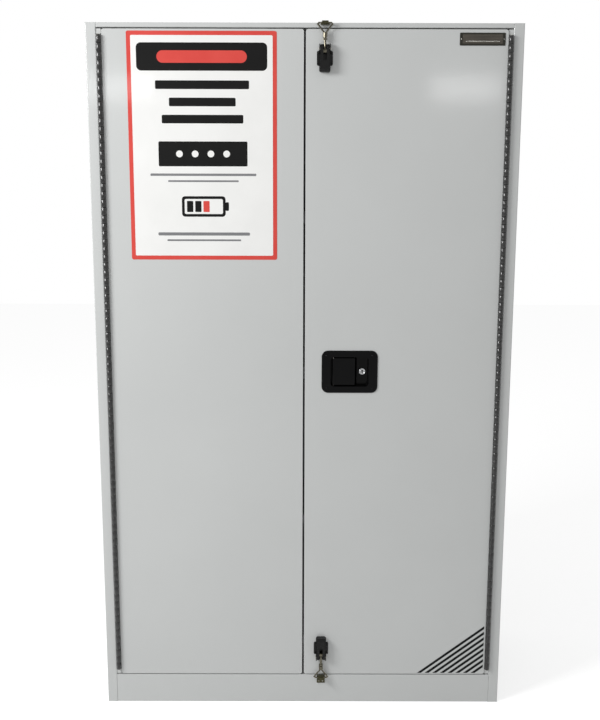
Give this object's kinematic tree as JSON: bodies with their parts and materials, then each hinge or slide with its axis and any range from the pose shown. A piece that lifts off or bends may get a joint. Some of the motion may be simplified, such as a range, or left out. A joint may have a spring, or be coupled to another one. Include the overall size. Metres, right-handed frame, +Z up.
{
  "type": "battery cabinet",
  "caption": "Tall insulated two-door steel cabinet for storing batteries, with full-height hinges, draw latches at top and bottom, and a flush paddle lock.",
  "frame": {"origin": "centre of the cabinet's footprint on the floor", "axes": "+Z up, +Y to the back (the doors face -Y), +X to the right seen from the front"},
  "size_m": [1.095, 0.5082, 1.8325],
  "materials": {
    "cabinet_paint": "semi-gloss light grey enamel with a fine orange peel",
    "fire_board": "matt calcium silicate board",
    "seal_strip": "matt foam and heat-swelling strip",
    "shelf_steel": "galvanised steel, satin",
    "zinc_steel": "bright zinc plate",
    "black_latch_steel": "black powder coat",
    "olive_keeper_steel": "olive drab passivated steel",
    "black_enamel": "gloss black enamel",
    "lock_chrome": "polished chrome",
    "strip_plastic": "moulded matt plastic",
    "stud_brass": "bare brass"
  },
  "bodies": {
    "cabinet": {"side_wall_left": "cabinet_paint", "side_wall_right": "cabinet_paint", "top_wall": "cabinet_paint", "base_wall": "cabinet_paint", "back_panel": "cabinet_paint", "frame_leaf_left": "cabinet_paint", "frame_leaf_right": "cabinet_paint", "liner_left": "cabinet_paint", "liner_right": "cabinet_paint", "liner_top": "cabinet_paint", "liner_floor": "cabinet_paint", "liner_back": "cabinet_paint", "wall_insulation": "fire_board", "back_insulation": "fire_board", "door_seal": "seal_strip", "sump_tray": "shelf_steel", "shelf_lower": "shelf_steel", "shelf_middle": "shelf_steel", "shelf_upper": "shelf_steel", "shelf_ledges": "shelf_steel", "strike_plates": "shelf_steel", "hinge_pins_left": "zinc_steel", "hinge_pins_right": "zinc_steel", "keeper_top": "olive_keeper_steel", "keeper_bottom": "olive_keeper_steel", "power_strips": "strip_plastic", "cable_gland": "strip_plastic", "vent_bushes": "strip_plastic", "vent_plugs": "strip_plastic", "earth_stud": "stud_brass"},
    "left_door": {"door_skin_left": "cabinet_paint", "door_liner_left": "cabinet_paint", "door_insulation_left": "fire_board", "door_leaf_left": "cabinet_paint", "meeting_seal": "seal_strip"},
    "right_door": {"door_skin_right": "cabinet_paint", "door_liner_right": "cabinet_paint", "door_insulation_right": "fire_board", "door_leaf_right": "cabinet_paint", "lock_bowl": "black_enamel", "lock_case": "shelf_steel", "lock_barrel": "lock_chrome", "paddle_pin": "zinc_steel", "rod_guides": "shelf_steel", "latch_base_top": "black_latch_steel", "latch_base_bottom": "black_latch_steel", "latch_studs_top": "zinc_steel", "latch_studs_bottom": "zinc_steel"},
    "paddle": {"paddle": "black_enamel"},
    "key_plug": {"key_plug": "lock_chrome"},
    "rod_top": {"lock_rod_top": "zinc_steel"},
    "rod_bottom": {"lock_rod_bottom": "zinc_steel"},
    "lever_top": {"latch_lever_top": "black_latch_steel"},
    "lever_bottom": {"latch_lever_bottom": "black_latch_steel"},
    "draw_top": {"latch_draw_top": "zinc_steel"},
    "draw_bottom": {"latch_draw_bottom": "zinc_steel"}
  },
  "joints": [
    {"name": "left_door_swing", "type": "hinge", "parent": "cabinet", "child": "left_door", "pos_m": [-0.514, -0.234, 0.95], "axis": [0, 0, -1], "range_deg": [0, 170]},
    {"name": "right_door_swing", "type": "hinge", "parent": "cabinet", "child": "right_door", "pos_m": [0.514, -0.234, 0.95], "axis": [0, 0, 1], "range_deg": [0, 170]},
    {"name": "paddle_pull", "type": "hinge", "parent": "right_door", "child": "paddle", "pos_m": [0.07775, -0.2265, 0.947], "axis": [0, 0, -1], "range_deg": [0, 35], "stiffness_Nm_per_rad": 0.6, "springref_deg": -8.59},
    {"name": "key_turn", "type": "hinge", "parent": "right_door", "child": "key_plug", "pos_m": [0.1545, -0.22, 0.947], "axis": [0, 1, 0], "range_deg": [0, 90]},
    {"name": "rod_top_slide", "type": "slide", "parent": "right_door", "child": "rod_top", "axis": [0, 0, -1], "range_m": [0, 0.0121]},
    {"name": "rod_bottom_slide", "type": "slide", "parent": "right_door", "child": "rod_bottom", "axis": [0, 0, 1], "range_m": [0, 0.0121]},
    {"name": "lever_top_throw", "type": "hinge", "parent": "right_door", "child": "lever_top", "pos_m": [0.05, -0.242, 1.7665], "axis": [-1, 0, 0], "range_deg": [0, 110]},
    {"name": "draw_top_tilt", "type": "hinge", "parent": "lever_top", "child": "draw_top", "pos_m": [0.05, -0.2405, 1.7605], "axis": [-1, 0, 0], "range_deg": [-111, 0]},
    {"name": "lever_bottom_throw", "type": "hinge", "parent": "right_door", "child": "lever_bottom", "pos_m": [0.05, -0.242, 0.141], "axis": [1, 0, 0], "range_deg": [0, 110]},
    {"name": "draw_bottom_tilt", "type": "hinge", "parent": "lever_bottom", "child": "draw_bottom", "pos_m": [0.05, -0.2405, 0.147], "axis": [1, 0, 0], "range_deg": [-111, 0]}
  ],
  "couplings": [
    {"joint": "rod_top_slide", "follows": "paddle_pull", "m_per_rad": 0.019644},
    {"joint": "rod_bottom_slide", "follows": "paddle_pull", "m_per_rad": 0.019644},
    {"joint": "draw_top_tilt", "follows": "lever_top_throw", "ratio": -1},
    {"joint": "draw_bottom_tilt", "follows": "lever_bottom_throw", "ratio": -1}
  ]
}
